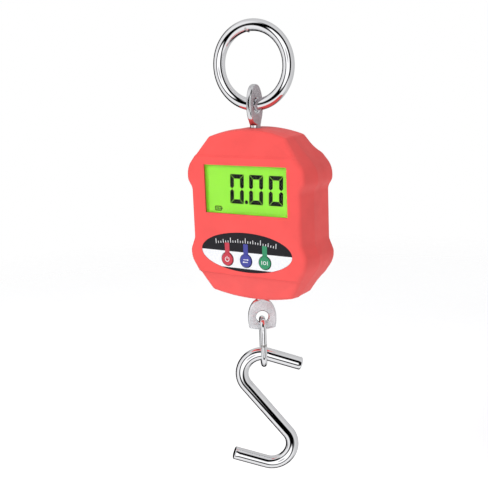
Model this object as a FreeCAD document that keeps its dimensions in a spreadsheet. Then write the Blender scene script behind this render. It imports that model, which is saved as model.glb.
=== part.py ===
"""Digital hanging fish scale: ring, swivelling eyes, cased load cell with display, link and S-hook.

Millimetres, +Z up, the display faces -Y. The origin is on the inside crown of the hanging ring, where a
support bears, and the load hangs straight down the Z axis. The cased pieces are drawn in the case frame,
whose origin is on the load axis at the crown of the case, and are then lowered into place together.
"""
import FreeCAD, Part
import operator
import os
from math import asin, atan2, cos, degrees, hypot, pi, radians, sin, tan
from types import SimpleNamespace

import Sketcher
from FreeCAD import Placement, Rotation, Vector

DOC = FreeCAD.newDocument("fish_scale")

DIMENSIONS = {
    # hanging ring: a welded wire ring, turned a little from the front of the case
    "ring_bore": 38.0, "ring_wire": 7.0, "ring_turn": 3.5,
    # forged eyes: an oval plate with a hole on a round shank
    "upper_width": 15.6, "lower_width": 17.2, "eye_height": 24.4, "eye_thick": 3.4, "shank": 6.2,
    "upper_hole": 8.4, "lower_hole": 7.8, "hang_gap": 0.35, "lower_turn": 35.0,
    "nut_flats": 10.0, "nut_thick": 5.0, "washer_size": 12.0, "washer_thick": 1.6,
    "thrust_gap": 0.05, "bore_gap": 0.05,
    # case outline, measured down from its crown and out from the load axis
    "case_drop": 54.6, "case_height": 101.6, "crown_half": 26.6, "crown_rise": 4.2,
    "ear_half": 42.4, "upper_ear_top": 22.6, "upper_ear_low": 30.2, "waist_half": 39.5,
    "waist_top": 34.8, "waist_low": 65.4, "lower_ear_top": 72.3, "lower_ear_low": 78.0,
    "base_half": 28.2, "base_rise": 3.2, "corner_round": 3.0, "ear_round": 13.0, "blend_round": 6.0,
    "side_draft": 2.9,
    # case depth: above and below its flat middle, the front leans back and the back steps in
    "front": 16.0, "back": 16.6, "lean": 4.0, "lean_zone": 16.0, "crease_round": 2.4, "edge_round": 3.0,
    "back_step": 4.2, "step_run": 3.6, "step_round": 4.5, "wall": 2.2, "parting": 4.0, "seam_step": 0.15,
    "shank_room": 0.4,
    # display, from the crown of the case
    "window_half": 27.8, "window_x": 0.9, "window_top": 20.5, "window_low": 49.1, "lens_thick": 1.2, "lens_lap": 2.0,
    "lens_sink": 1.0, "lcd_half": 29.0, "lcd_top": 19.8, "lcd_low": 50.2, "lcd_thick": 2.0,
    "light_thick": 1.8, "bezel_wall": 2.3, "strip_thick": 2.0,
    # control panel and buttons
    "panel_half": 30.9, "panel_rise": 11.75, "panel_level": 71.65, "panel_thick": 0.5, "panel_sink": 0.6,
    "button_size": 7.5, "button_gap": 0.3, "button_pitch": 12.9, "button_level": 76.5,
    "button_proud": 0.4, "button_flange": 9.6, "button_press": 0.5,
    # circuit board, its face towards the display
    "board_face": 9.0, "board_thick": 1.6, "board_half": 33.0, "board_top": 19.5, "board_low": 86.0,
    "board_corner": 4.0, "post_size": 5.0, "post_x": 30.0, "post_level": 56.5, "post_drop": 26.0,
    # load cell: an S-shaped beam with a dumb-bell window
    "cell_half": 21.0, "cell_thick": 12.0, "cell_top": 20.0, "cell_arm": 9.0, "cell_slot": 8.5,
    "cell_height": 60.0, "cell_web": 8.0, "gauge_x": 8.0, "gauge_hole": 10.0, "gauge_slot": 4.0,
    "cell_screw_x": 17.6,
    # batteries: two cells of 10.5 x 44.5 beside the load cell, behind a sliding cover
    "battery_size": 10.5, "battery_length": 43.7, "nub_size": 3.8, "nub_height": 0.8, "battery_x": 29.0,
    "battery_y": 9.2, "bay_half": 5.7, "bay_top": 28.0, "bay_length": 51.0, "bay_floor": 3.6,
    "bay_wall": 1.2, "cover_half": 34.0, "cover_top": 24.0, "cover_low": 84.0, "cover_thick": 1.8,
    "cover_gap": 0.3, "lug_reach": 1.0, "lug_thick": 0.8, "lug_length": 6.0, "cover_slide": 8.0,
    # case screws, self-tapping, from the back
    "screw_x": 24.0, "screw_top": 11.5, "screw_low": 90.5, "screw_seat": 2.0, "screw_shank": 2.7,
    "screw_head": 5.5, "screw_length": 12.0,
    # link and S-hook
    "link_wire": 3.6, "link_width": 13.6, "link_height": 28.8, "lower_hole_drop": 13.5,
    "hook_rod": 8.0, "hook_bend": 12.5, "hook_offset": 2.45, "hook_half": 24.0, "hook_slope": 20.0,
    "hook_arm": 21.5, "hook_shift": 1.2,
}


class Dim:
    """A number together with the spreadsheet formula that gives it."""

    SIGNS = {"+": operator.add, "-": operator.sub, "*": operator.mul, "/": operator.truediv}

    def __init__(self, value, formula):
        self.value = value
        self.formula = formula

    def __float__(self):
        return float(self.value)

    def __neg__(self):
        return Dim(-self.value, f"(0 - {self.formula})")

    def __add__(self, other):
        return combine(self, "+", other)

    def __radd__(self, other):
        return combine(other, "+", self)

    def __sub__(self, other):
        return combine(self, "-", other)

    def __rsub__(self, other):
        return combine(other, "-", self)

    def __mul__(self, other):
        return combine(self, "*", other)

    def __rmul__(self, other):
        return combine(other, "*", self)

    def __truediv__(self, other):
        return combine(self, "/", other)


def as_dim(value):
    """Wrap a bare number, so that it can stand in a formula."""
    if isinstance(value, Dim):
        return value
    return Dim(float(value), f"({float(value)})" if value >= 0 else f"(0 - {-float(value)})")


def combine(left, sign, right):
    """Join two sizes in one formula."""
    left = as_dim(left)
    right = as_dim(right)
    return Dim(Dim.SIGNS[sign](left.value, right.value), f"({left.formula} {sign} {right.formula})")


def make_sheet():
    """Write the driving dimensions to the spreadsheet and return them as named Dims."""
    sheet = DOC.addObject("Spreadsheet::Sheet", "dims")
    for row, (name, value) in enumerate(DIMENSIONS.items(), start=1):
        sheet.set(f"A{row}", name)
        sheet.set(f"B{row}", str(value))
        sheet.setAlias(f"B{row}", name)
    DOC.recompute()
    return SimpleNamespace(**{name: Dim(sheet.get(name), f"dims.{name}") for name in DIMENSIONS})


D = make_sheet()
PARTS = []
POSITIONS = {}

# positions that several pieces share
CASE_Z = -D.case_drop
RING_CENTRE = -D.ring_bore / 2
RING_BOTTOM = -(D.ring_bore + D.ring_wire / 2)
UPPER_HOLE_Z = RING_BOTTOM + D.ring_wire / 2 + D.hang_gap - D.upper_hole / 2
LOWER_HOLE_Z = CASE_Z - D.case_height - D.lower_hole_drop
LINK_TOP = LOWER_HOLE_Z - D.lower_hole / 2 + D.link_wire / 2 + D.hang_gap + 0.25
LINK_LOW = LINK_TOP - D.link_height
CELL_LOW = D.cell_top + D.cell_height
COVER_SEAT = D.back - D.cover_thick - D.cover_gap
BAY_X = D.bay_half + D.bay_wall
BAY_LOW = -D.bay_top - D.bay_length
PLATE = 0.4
BUTTONS = (("power_button", -1), ("unit_button", 0), ("tare_button", 1))
SIDES = (-1, 1)
AXES = {"X": Rotation(Vector(0, 1, 0), 90), "Y": Rotation(Vector(1, 0, 0), -90), "Z": Rotation()}


# ---------------------------------------------------------------- shared building blocks

def bind(obj, prop, size):
    """Drive a property from the spreadsheet."""
    obj.setExpression(prop, as_dim(size).formula)


def place(obj, x=0, y=0, z=0, rotation=None):
    """Put an object at a position that the spreadsheet drives."""
    obj.Placement = Placement(Vector(float(x), float(y), float(z)), rotation or Rotation())
    POSITIONS[obj.Name] = (x, y, z)
    for letter, size in (("x", x), ("y", y), ("z", z)):
        if isinstance(size, Dim):
            bind(obj, f"Placement.Base.{letter}", size)


def node(obj, label):
    """Keep an object as a sub-part under its own label."""
    obj.Label = label
    PARTS.append(obj)
    return obj


def in_case(obj, label):
    """Keep a sub-part that was drawn in the case frame."""
    x, y, z = POSITIONS.get(obj.Name, (0, 0, 0))
    place(obj, x, y, CASE_Z + z, obj.Placement.Rotation)
    return node(obj, label)


def box(x, y, z):
    """Block between two corners, given as (low, high) for each axis."""
    obj = DOC.addObject("Part::Box", "block")
    for prop, (low, high) in (("Length", x), ("Width", y), ("Height", z)):
        bind(obj, prop, as_dim(high) - low)
    place(obj, x[0], y[0], z[0])
    return obj


def rod(axis, low, high, radius, x=0, y=0, z=0):
    """Cylinder along an axis from low to high; x, y and z place it across that axis."""
    obj = DOC.addObject("Part::Cylinder", "rod")
    bind(obj, "Radius", radius)
    bind(obj, "Height", as_dim(high) - low)
    base = {"X": (low, y, z), "Y": (x, low, z), "Z": (x, y, low)}[axis]
    place(obj, *base, AXES[axis])
    return obj


def fuse(shapes):
    """Join overlapping shapes into one."""
    if len(shapes) == 1:
        return shapes[0]
    obj = DOC.addObject("Part::MultiFuse", "joined")
    obj.Shapes = shapes
    return obj


def cut(base, tools):
    """Take shapes away from a base."""
    obj = DOC.addObject("Part::Cut", "cut")
    obj.Base = base
    obj.Tool = fuse(tools)
    return obj


def common(base, tool):
    """Keep what two shapes share."""
    obj = DOC.addObject("Part::Common", "common")
    obj.Base = base
    obj.Tool = tool
    return obj


def group(shapes):
    """Keep several separate solids as one sub-part."""
    obj = DOC.addObject("Part::Compound", "group")
    obj.Links = shapes
    return obj


def sketch_on(body, plane, offset):
    """Sketch on one of the body's own planes, moved along its normal."""
    origin = next(f for f in body.Origin.OriginFeatures if f.Role == f"{plane}_Plane")
    sketch = body.newObject("Sketcher::SketchObject", "outline")
    sketch.AttachmentSupport = [(origin, "")]
    sketch.MapMode = "FlatFace"
    sketch.AttachmentOffset = Placement(Vector(0, 0, float(offset)), Rotation())
    bind(sketch, "AttachmentOffset.Base.z", offset)
    return sketch


def pin(sketch, geometry, point, x, y):
    """Hold a sketch point at a distance from the origin."""
    for kind, size in (("DistanceX", x), ("DistanceY", y)):
        index = sketch.addConstraint(Sketcher.Constraint(kind, -1, 1, geometry, point, float(size)))
        if isinstance(size, Dim):
            bind(sketch, f"Constraints[{index}]", size)


def draw_outline(sketch, points, arcs=None):
    """Closed outline through points; arcs maps an edge's number to the height of its crown."""
    count = len(points)
    arcs = arcs or {}
    spots = [Vector(float(x), float(y), 0) for x, y in points]
    for index in range(count):
        start, end = spots[index], spots[(index + 1) % count]
        if index not in arcs:
            edge = sketch.addGeometry(Part.LineSegment(start, end))
            if count > len(arcs):
                pin(sketch, edge, 1, *points[index])
            if (index + 1) % count in arcs:
                pin(sketch, edge, 2, *points[(index + 1) % count])
            continue
        crown = Vector((start.x + end.x) / 2, float(arcs[index]), 0)
        sketch.addGeometry(Part.Arc(start, crown, end))
    for index in range(count):
        following = (index + 1) % count
        target = spots[following]
        ends = []
        for edge in (index, following):
            near = min((1, 2), key=lambda end: (sketch.getPoint(edge, end) - target).Length)
            ends += [edge, near]
        sketch.addConstraint(Sketcher.Constraint("Coincident", *ends))
    for index in arcs:
        half = (as_dim(points[(index + 1) % count][0]) - points[index][0]) / 2
        rise = as_dim(arcs[index]) - points[index][1]
        radius = (half * half + rise * rise) / (2 * rise)
        sign = 1 if float(radius) > 0 else -1
        number = sketch.addConstraint(Sketcher.Constraint("Radius", index, sign * float(radius)))
        bind(sketch, f"Constraints[{number}]", sign * radius)


def draw_circle(sketch, x, y, radius):
    """Circle about a point."""
    circle = Part.Circle(Vector(float(x), float(y), 0), Vector(0, 0, 1), float(radius))
    edge = sketch.addGeometry(circle)
    pin(sketch, edge, 3, x, y)
    number = sketch.addConstraint(Sketcher.Constraint("Radius", edge, float(radius)))
    bind(sketch, f"Constraints[{number}]", radius)


def draw_oval(sketch, y, half_x, half_y):
    """Upright or level ellipse about a point on the sketch's Y axis."""
    level = float(half_x) > float(half_y)
    major, minor = (half_x, half_y) if level else (half_y, half_x)
    long_way = Vector(float(major), 0, 0) if level else Vector(0, float(major), 0)
    short_way = Vector(0, float(minor), 0) if level else Vector(-float(minor), 0, 0)
    centre = Vector(0, float(y), 0)
    edge = sketch.addGeometry(Part.Ellipse(centre + long_way, centre + short_way, centre))
    sketch.exposeInternalGeometry(edge)
    pin(sketch, edge, 3, 0, y)
    sketch.addConstraint(Sketcher.Constraint("Horizontal" if level else "Vertical", edge + 1))
    for line, size in ((edge + 1, major), (edge + 2, minor)):
        number = sketch.addConstraint(Sketcher.Constraint("Distance", line, 2 * float(size)))
        bind(sketch, f"Constraints[{number}]", 2 * as_dim(size))


def extrude(body, kind, plane, low, high, draw):
    """Pad or pocket a sketch between two positions along the plane's axis."""
    from_high = (plane == "XZ") == (kind == "Pad")
    offset = as_dim(high if from_high else low)
    sketch = sketch_on(body, plane, -offset if plane == "XZ" else offset)
    draw(sketch)
    sketch.Visibility = False
    feature = body.newObject(f"PartDesign::{kind}", kind.lower())
    feature.Profile = sketch
    bind(feature, "Length", as_dim(high) - low)
    DOC.recompute()
    return feature


def pad(body, plane, low, high, draw):
    """Add material between two positions."""
    return extrude(body, "Pad", plane, low, high, draw)


def pocket(body, plane, low, high, draw):
    """Take material away between two positions, and make sure that some went."""
    before = body.Shape.Volume
    sketch = sketch_on(body, plane, -as_dim(low) if plane == "XZ" else as_dim(high))
    draw(sketch)
    feature = body.newObject("PartDesign::Pocket", "pocket")
    feature.Profile = sketch
    bind(feature, "Length", as_dim(high) - low)
    DOC.recompute()
    if body.Shape.Volume >= before:
        raise RuntimeError(f"pocket in {body.Name} cuts nothing")
    return feature


def new_body(name):
    """Empty body."""
    return DOC.addObject("PartDesign::Body", name)


def round_edges(body, radius, chosen):
    """Round the body's edges that the test picks."""
    edges = [f"Edge{n}" for n, edge in enumerate(body.Shape.Edges, start=1) if chosen(edge)]
    fillet = body.newObject("PartDesign::Fillet", "rounding")
    fillet.Base = (body.Tip if body.Tip != fillet else fillet.BaseFeature, edges)
    bind(fillet, "Radius", radius)
    DOC.recompute()
    return fillet


def rounded_path(points, bend=None):
    """Wire along points, its corners rounded as widely as the runs on either side allow."""
    edges = []
    start = points[0]
    for before, corner, after in zip(points, points[1:], points[2:]):
        inward = (corner - before).normalize()
        outward = (after - corner).normalize()
        turn = inward.getAngle(outward)
        room = 0.45 * min((corner - before).Length, (after - corner).Length)
        reach = min(room, bend * tan(turn / 2)) if bend else room
        enter = corner - inward * reach
        leave = corner + outward * reach
        bulge = (enter + leave) / 2 - corner
        radius = reach / tan(turn / 2)
        middle = corner + bulge.normalize() * (radius / cos(turn / 2) - radius)
        edges += [Part.LineSegment(start, enter).toShape(), Part.Arc(enter, middle, leave).toShape()]
        start = leave
    edges.append(Part.LineSegment(start, points[-1]).toShape())
    return Part.Wire(edges)


def tube_along(wire, radius):
    """Solid round bar along a wire."""
    first = wire.OrderedEdges[0]
    start = first.valueAt(first.FirstParameter)
    heading = first.tangentAt(first.FirstParameter)
    profile = Part.Wire([Part.makeCircle(float(radius), start, heading)])
    solid = wire.makePipeShell([profile], True, False)
    if solid.Volume < 0:
        solid.reverse()
    return solid


def from_shape(shape):
    """Document object that holds a ready-made shape."""
    obj = DOC.addObject("Part::Feature", "shape")
    obj.Shape = shape
    return obj


# ---------------------------------------------------------------- ring, eyes, link and hook

def hanging_ring():
    """Welded ring on edge, its wire through the upper eye."""
    ring = DOC.addObject("Part::Torus", "ring")
    bind(ring, "Radius1", (D.ring_bore + D.ring_wire) / 2)
    bind(ring, "Radius2", D.ring_wire / 2)
    place(ring, 0, 0, RING_CENTRE, Rotation(Vector(0, 0, 1), float(D.ring_turn)) * AXES["Y"])
    node(ring, "hanging_ring")


def eye_plate(body, plane, width, hole, shank_end):
    """Oval plate with a hole and a shank that runs away from it, drawn about the hole."""
    half_thick = D.eye_thick / 2
    pad(body, plane, -half_thick, half_thick, lambda s: draw_oval(s, 0, width / 2, D.eye_height / 2))
    low, high = sorted((shank_end, as_dim(-11 if float(shank_end) < 0 else 11) * 0.88), key=float)
    pad(body, "XY", low, high, lambda s: draw_circle(s, 0, 0, D.shank / 2))
    pocket(body, plane, -D.eye_thick, D.eye_thick, lambda s: draw_circle(s, 0, 0, hole / 2))


def upper_eye_bolt():
    """Eye above the case; its plate stands across the ring's wire."""
    body = new_body("upper_eye")
    nut_low = CASE_Z - D.cell_top - D.cell_arm - D.washer_thick - D.thrust_gap - D.nut_thick
    eye_plate(body, "YZ", D.upper_width, D.upper_hole, nut_low - 1 - UPPER_HOLE_Z)
    place(body, 0, 0, UPPER_HOLE_Z, Rotation(Vector(0, 0, 1), float(D.ring_turn)))
    node(body, "upper_eye_bolt")


def lower_eye_bolt():
    """Eye below the case; its end is cut to a blunt point under the hole."""
    body = new_body("lower_eye")
    nut_top = CASE_Z - CELL_LOW + D.cell_arm + D.washer_thick + D.thrust_gap + D.nut_thick
    eye_plate(body, "XZ", D.lower_width, D.lower_hole, nut_top + 1 - LOWER_HOLE_Z)
    shoulder = -D.eye_height * 0.275
    point = -D.eye_height * 0.33
    below = -D.eye_height
    side = D.lower_width
    end = [(-side, shoulder), (-side * 0.44, shoulder), (0, point), (side * 0.44, shoulder),
           (side, shoulder), (side, below), (-side, below)]
    pocket(body, "XZ", -D.eye_thick, D.eye_thick, lambda s: draw_outline(s, end))
    place(body, 0, 0, LOWER_HOLE_Z, Rotation(Vector(0, 0, 1), float(D.lower_turn)))
    node(body, "lower_eye_bolt")


def hex_nut(label, low, turn):
    """Lock nut on a shank's end; low is its underside below the crown of the case."""
    body = new_body("nut")
    reach = D.nut_flats / 2
    corner = D.nut_flats * 0.57735
    hexagon = [(corner / 2, reach), (corner, 0), (corner / 2, -reach), (-corner / 2, -reach), (-corner, 0),
               (-corner / 2, reach)]
    pad(body, "XY", 0, D.nut_thick, lambda s: draw_outline(s, hexagon))
    pocket(body, "XY", -1, D.nut_thick + 1, lambda s: draw_circle(s, 0, 0, D.shank / 2))
    place(body, 0, 0, CASE_Z - low, Rotation(Vector(0, 0, 1), float(turn)))
    node(body, label)


def thrust_washer(label, low):
    """Washer between a nut and the load cell's arm."""
    disc = rod("Z", -low, D.washer_thick - low, D.washer_size / 2)
    hole = rod("Z", -low - 1, D.washer_thick - low + 1, D.shank / 2 + 0.35)
    in_case(cut(disc, [hole]), label)


def swivel_hardware():
    """Nuts and washers that hold both shanks in the load cell's slots."""
    upper_washer = D.cell_top + D.cell_arm + D.washer_thick
    thrust_washer("upper_thrust_washer", upper_washer)
    hex_nut("upper_lock_nut", upper_washer + D.thrust_gap + D.nut_thick, D.ring_turn)
    lower_washer = CELL_LOW - D.cell_arm
    thrust_washer("lower_thrust_washer", lower_washer)
    hex_nut("lower_lock_nut", lower_washer - D.washer_thick - D.thrust_gap, D.lower_turn)


def connecting_link():
    """Oval wire link, hung in the lower eye at right angles to its plate."""
    half = float(D.link_width) / 2
    top = -half
    low = half - float(D.link_height)
    corners = [Vector(0, -half, top), Vector(0, -half, low), Vector(0, half, low), Vector(0, half, top)]
    edges = [
        Part.LineSegment(corners[0], corners[1]).toShape(),
        Part.Arc(corners[1], Vector(0, 0, -float(D.link_height)), corners[2]).toShape(),
        Part.LineSegment(corners[2], corners[3]).toShape(),
        Part.Arc(corners[3], Vector(0, 0, 0), corners[0]).toShape(),
    ]
    link = from_shape(tube_along(Part.Wire(edges), D.link_wire / 2))
    place(link, 0, 0, LINK_TOP, Rotation(Vector(0, 0, 1), float(D.lower_turn)))
    node(link, "connecting_link")


def hook_path():
    """Centre line of the S-hook, about its own middle: arm, bend, slanting shank, bend, arm."""
    bend = float(D.hook_bend)
    slope = radians(float(D.hook_slope))
    centre = Vector(-float(D.hook_offset), 0, float(D.hook_half))
    leave = centre + Vector(sin(slope), 0, cos(slope)) * bend
    tip = leave + Vector(cos(slope), 0, -sin(slope)) * float(D.hook_arm)
    half_way = hypot(centre.x, centre.z)
    lean = atan2(-centre.x, centre.z) + asin(bend / half_way)
    join = centre + Vector(-cos(lean), 0, -sin(lean)) * bend
    middle = radians(90) + (radians(90) - slope + radians(180) + lean) / 2 - radians(45) + slope / 2
    crown = centre + Vector(cos(middle), 0, sin(middle)) * bend
    upper = [Part.LineSegment(tip, leave).toShape(), Part.Arc(leave, crown, join).toShape()]
    shank = Part.LineSegment(join, -join).toShape()
    lower = [Part.Arc(-join, -crown, -leave).toShape(), Part.LineSegment(-leave, -tip).toShape()]
    return Part.Wire(upper + [shank] + lower)


def s_hook():
    """S-hook of round rod; its upper bend rides in the link."""
    hook = from_shape(tube_along(hook_path(), D.hook_rod / 2))
    turn = radians(float(D.lower_turn))
    place(hook, D.hook_shift * cos(turn), D.hook_shift * sin(turn), HOOK_MIDDLE,
          Rotation(Vector(0, 0, 1), float(D.lower_turn)))
    node(hook, "s_hook")


# where the link bears on the hook, a little to the side of the hook's middle
BEARING_SIDE = float(D.hook_offset) - float(D.hook_shift)
BEARING = float(D.hook_half) + (float(D.hook_bend) ** 2 - BEARING_SIDE ** 2) ** 0.5
BEARING_TILT = degrees(asin(BEARING_SIDE / float(D.hook_bend)))
ROD_HALF_HEIGHT = D.hook_rod / 2 / cos(radians(BEARING_TILT))
HOOK_MIDDLE = LINK_LOW + D.link_wire / 2 + D.hang_gap + 0.25 + ROD_HALF_HEIGHT - BEARING


# ---------------------------------------------------------------- case

def case_outline(inset, draft):
    """Corners of the case outline, each pulled in by the inset and, at the ears and waist, by the draft."""
    side = as_dim(inset) + draft
    end = as_dim(inset) + 0.3 * as_dim(draft)
    right = [
        (D.crown_half - end, -D.crown_rise - end),
        (D.ear_half - side, -D.upper_ear_top),
        (D.ear_half - side, -D.upper_ear_low),
        (D.waist_half - side, -D.waist_top),
        (D.waist_half - side, -D.waist_low),
        (D.ear_half - side, -D.lower_ear_top),
        (D.ear_half - side, -D.lower_ear_low),
        (D.base_half - end, D.base_rise - D.case_height + end),
    ]
    left = [(-x, z) for x, z in reversed(right)]
    arcs = {len(right) - 1: end - D.case_height, 2 * len(right) - 1: -end}
    return right + left, arcs


def front_form(name, inset):
    """Front half of the case's form or hollow: its sides draw in towards the display."""
    body = new_body(name)
    face = inset - D.front
    draft = D.side_draft * ((-face - D.parting) / (D.front - D.parting))
    wide, wide_arcs = case_outline(inset, 0)
    narrow, narrow_arcs = case_outline(inset, draft)
    base = sketch_on(body, "XZ", D.parting)
    draw_outline(base, wide, wide_arcs)
    top = sketch_on(body, "XZ", -face)
    draw_outline(top, narrow, narrow_arcs)
    loft = body.newObject("PartDesign::AdditiveLoft", "loft")
    loft.Profile = base
    loft.Sections = [top]
    loft.Ruled = True
    DOC.recompute()
    finish_form(body, wide, narrow)
    pocket(body, "YZ", -D.ear_half - 1, D.ear_half + 1, lambda s: draw_leans(s, face))
    return body


def rear_form(name, inset):
    """Rear half of the case's form or hollow, with straight sides just inside the front half's."""
    body = new_body(name)
    face = D.back - inset
    outline, arcs = case_outline(inset + D.seam_step, 0)
    pad(body, "XZ", -D.parting, face, lambda s: draw_outline(s, outline, arcs))
    finish_form(body, outline, outline)
    pocket(body, "YZ", -D.ear_half - 1, D.ear_half + 1, lambda s: draw_steps(s, face))
    return body


def finish_form(body, near, far):
    """Round the upright corners of a half."""
    for radius, numbers in ((D.corner_round, (0, 7)), (D.ear_round, (1, 6)), (D.blend_round, (2, 3, 4, 5))):
        pairs = [[(float(x), float(z)) for x, z in (near[n], far[n])] for n in numbers]
        round_edges(body, radius, lambda edge: stands_at(edge, pairs))


def round_rims(form, crease):
    """Soften the creases and the edges where the face meets the sides."""
    round_edges(form, crease, is_crease)
    round_edges(form, D.edge_round, rim_test(form.Shape))


def stands_at(edge, pairs):
    """Whether an edge runs front to back between one pair of corners, on either side."""
    ends = [vertex.Point for vertex in edge.Vertexes]
    if len(ends) != 2 or abs(ends[0].y - ends[1].y) < 5:
        return False
    spots = sorted((abs(point.x), point.z) for point in ends)
    for pair in pairs:
        wanted = sorted(pair)
        if all(hypot(a[0] - b[0], a[1] - b[1]) < 0.05 for a, b in zip(spots, wanted)):
            return True
    return False


def draw_leans(sketch, face):
    """Two wedges that make the front lean back above and below its flat middle."""
    run = D.lean_zone + 2
    drop = D.lean * run / D.lean_zone
    for level, upward in ((-D.lean_zone, 1), (D.lean_zone - D.case_height, -1)):
        end = level + upward * run
        draw_wedge(sketch, [(face, level), (face + drop, end), (face - 2, end), (face - 2, level)])


def draw_steps(sketch, face):
    """Two cuts that make the back step in above and below its flat middle."""
    foot = face - D.back_step
    for level, upward in ((-D.lean_zone, 1), (D.lean_zone - D.case_height, -1)):
        bend = level + upward * D.step_run
        end = level + upward * (D.lean_zone + 2)
        draw_wedge(sketch, [(face, level), (foot, bend), (foot, end), (face + 2, end), (face + 2, level)])


def draw_wedge(sketch, corners):
    """One closed outline among others in a sketch."""
    count = len(corners)
    spots = [Vector(float(x), float(y), 0) for x, y in corners]
    edges = [sketch.addGeometry(Part.LineSegment(spots[n], spots[(n + 1) % count])) for n in range(count)]
    for number, edge in enumerate(edges):
        pin(sketch, edge, 1, *corners[number])
        sketch.addConstraint(Sketcher.Constraint("Coincident", edge, 2, edges[(number + 1) % count], 1))


def oval_block(name, grow, low, high):
    """Upright slab with the control panel's oval outline."""
    body = new_body(name)
    pad(body, "XZ", low, high,
        lambda s: draw_oval(s, -D.panel_level, D.panel_half + grow, D.panel_rise + grow))
    return body


def button_holes(radius, low, high):
    """Rods through the three button places."""
    return [rod("Y", low, high, radius, x=place_number * D.button_pitch, z=-D.button_level)
            for _, place_number in BUTTONS]


def screw_places():
    """The four case screws' positions."""
    return [(side * D.screw_x, -level) for side in SIDES for level in (D.screw_top, D.screw_low)]


def board_posts():
    """The four board screws' positions."""
    levels = (D.post_level, D.post_level + D.post_drop)
    return [(side * D.post_x, -level) for side in SIDES for level in levels]


def front_shell(outer, hollow):
    """Front half of the case, with the display window, the panel's recess and the posts."""
    inner_face = D.wall - D.front
    post_end = -D.board_face
    posts = [rod("Y", inner_face - 1, post_end, D.post_size / 2, x=x, z=z) for x, z in board_posts()]
    posts += [rod("Y", inner_face - 0.05, -D.parting, 3.2, x=x, z=z) for x, z in screw_places()]
    window = box(span(1, D.window_x, D.window_half), (-20, -10), (-D.window_low, -D.window_top))
    lens_half = D.window_half + D.lens_lap + 0.15
    lens_seat = D.lens_sink - D.front
    pocket_box = box(span(1, D.window_x, lens_half), (lens_seat, lens_seat + 3),
                     (-D.window_low - D.lens_lap - 0.15, D.lens_lap + 0.15 - D.window_top))
    recess = oval_block("panel_recess", 0.15, -D.front - 1, D.panel_sink - D.front)
    holes = button_holes(D.button_size / 2 + D.button_gap, -20, -10)
    pilots = [rod("Y", -11.5, -D.parting + 1, D.screw_shank / 2, x=x, z=z) for x, z in screw_places()]
    pilots += [rod("Y", post_end - 4, post_end + 1, 0.9, x=x, z=z) for x, z in board_posts()]
    joined = fuse([cut(outer, [hollow])] + posts)
    shell = cut(joined, [window, pocket_box, recess] + holes + pilots)
    in_case(shell, "front_shell")


def rear_shell(outer, hollow):
    """Back half of the case, with both battery bays, the cover's seat and the shanks' holes."""
    shell_walls = cut(outer, [hollow])
    trays = [box(span(side, D.battery_x, BAY_X), (D.bay_floor - D.bay_wall, COVER_SEAT + 0.5),
                 (BAY_LOW - D.bay_wall, D.bay_wall - D.bay_top)) for side in SIDES]
    seat_wall = box((-36, 36), (COVER_SEAT - 1.8, COVER_SEAT + 0.2), (-D.cover_low - 3, 1 - D.cover_top))
    posts = [rod("Y", -D.parting, D.back - 2, 3.6, x=x, z=z) for x, z in screw_places()]
    cell_bosses = [rod("Y", D.cell_thick / 2, COVER_SEAT - 1, 3.5, x=side * D.cell_screw_x, z=CELL_LEVEL)
                   for side in SIDES]
    inside = [common(shape, outer) for shape in trays + [seat_wall] + posts]
    solid = fuse([shell_walls] + inside + cell_bosses)
    tools = [box(span(side, D.battery_x, D.bay_half), (D.bay_floor, 30), (BAY_LOW, -D.bay_top))
             for side in SIDES]
    tools += cover_seat_tools()
    tools += [rod("Y", D.screw_seat, 30, D.screw_head / 2 + 0.35, x=x, z=z) for x, z in screw_places()]
    tools += [rod("Y", -10, D.screw_seat + 1, D.screw_shank / 2 + 0.25, x=x, z=z) for x, z in screw_places()]
    tools += [rod("Y", 0, 11.5, 1.5, x=side * D.cell_screw_x, z=CELL_LEVEL) for side in SIDES]
    shank_hole = D.shank / 2 + D.shank_room
    tools += [rod("Z", -8, 5, shank_hole), rod("Z", -D.case_height - 5, 8 - D.case_height, shank_hole)]
    in_case(cut(solid, tools), "rear_shell")


def span(side, middle, half):
    """Low and high limits of a stretch on one side of the load axis."""
    centre = side * middle
    return (centre - half, centre + half)


def lug_levels():
    """Middles of the cover's two lugs on each side, below the crown of the case."""
    return (D.cover_top + 14, D.cover_top + 44)


def cover_seat_tools():
    """Recess for the battery cover, open at the bottom, with grooves for its lugs."""
    gap = D.cover_gap
    half = D.cover_half + gap
    tools = [box((-half, half), (COVER_SEAT, 30), (-D.case_height - 5, gap - D.cover_top))]
    reach = half + D.lug_reach
    lip = D.back - D.cover_thick + D.lug_thick + gap
    for level in lug_levels():
        low = -level - D.lug_length / 2 - D.cover_slide - gap
        high = gap - level + D.lug_length / 2
        tools.append(box((-reach, reach), (COVER_SEAT, lip), (low, high)))
        tools.append(box((-reach, reach), (COVER_SEAT, 30), (low, low + D.lug_length + 2 * gap)))
    return tools


def battery_cover(outer):
    """Sliding cover, flush with the back, held by lugs at its sides."""
    slab = box((-D.cover_half, D.cover_half), (D.back - D.cover_thick, 30), (-D.cover_low, -D.cover_top))
    plate = common(outer, slab)
    reach = D.cover_half + D.lug_reach
    inner = D.back - D.cover_thick
    lugs = [box((-reach, reach), (inner, inner + D.lug_thick),
                (-level - D.lug_length / 2, D.lug_length / 2 - level)) for level in lug_levels()]
    in_case(fuse([plate] + lugs), "battery_cover")


CELL_LEVEL = -(D.cell_top + D.cell_height / 2)


# ---------------------------------------------------------------- display, panel and board

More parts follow.
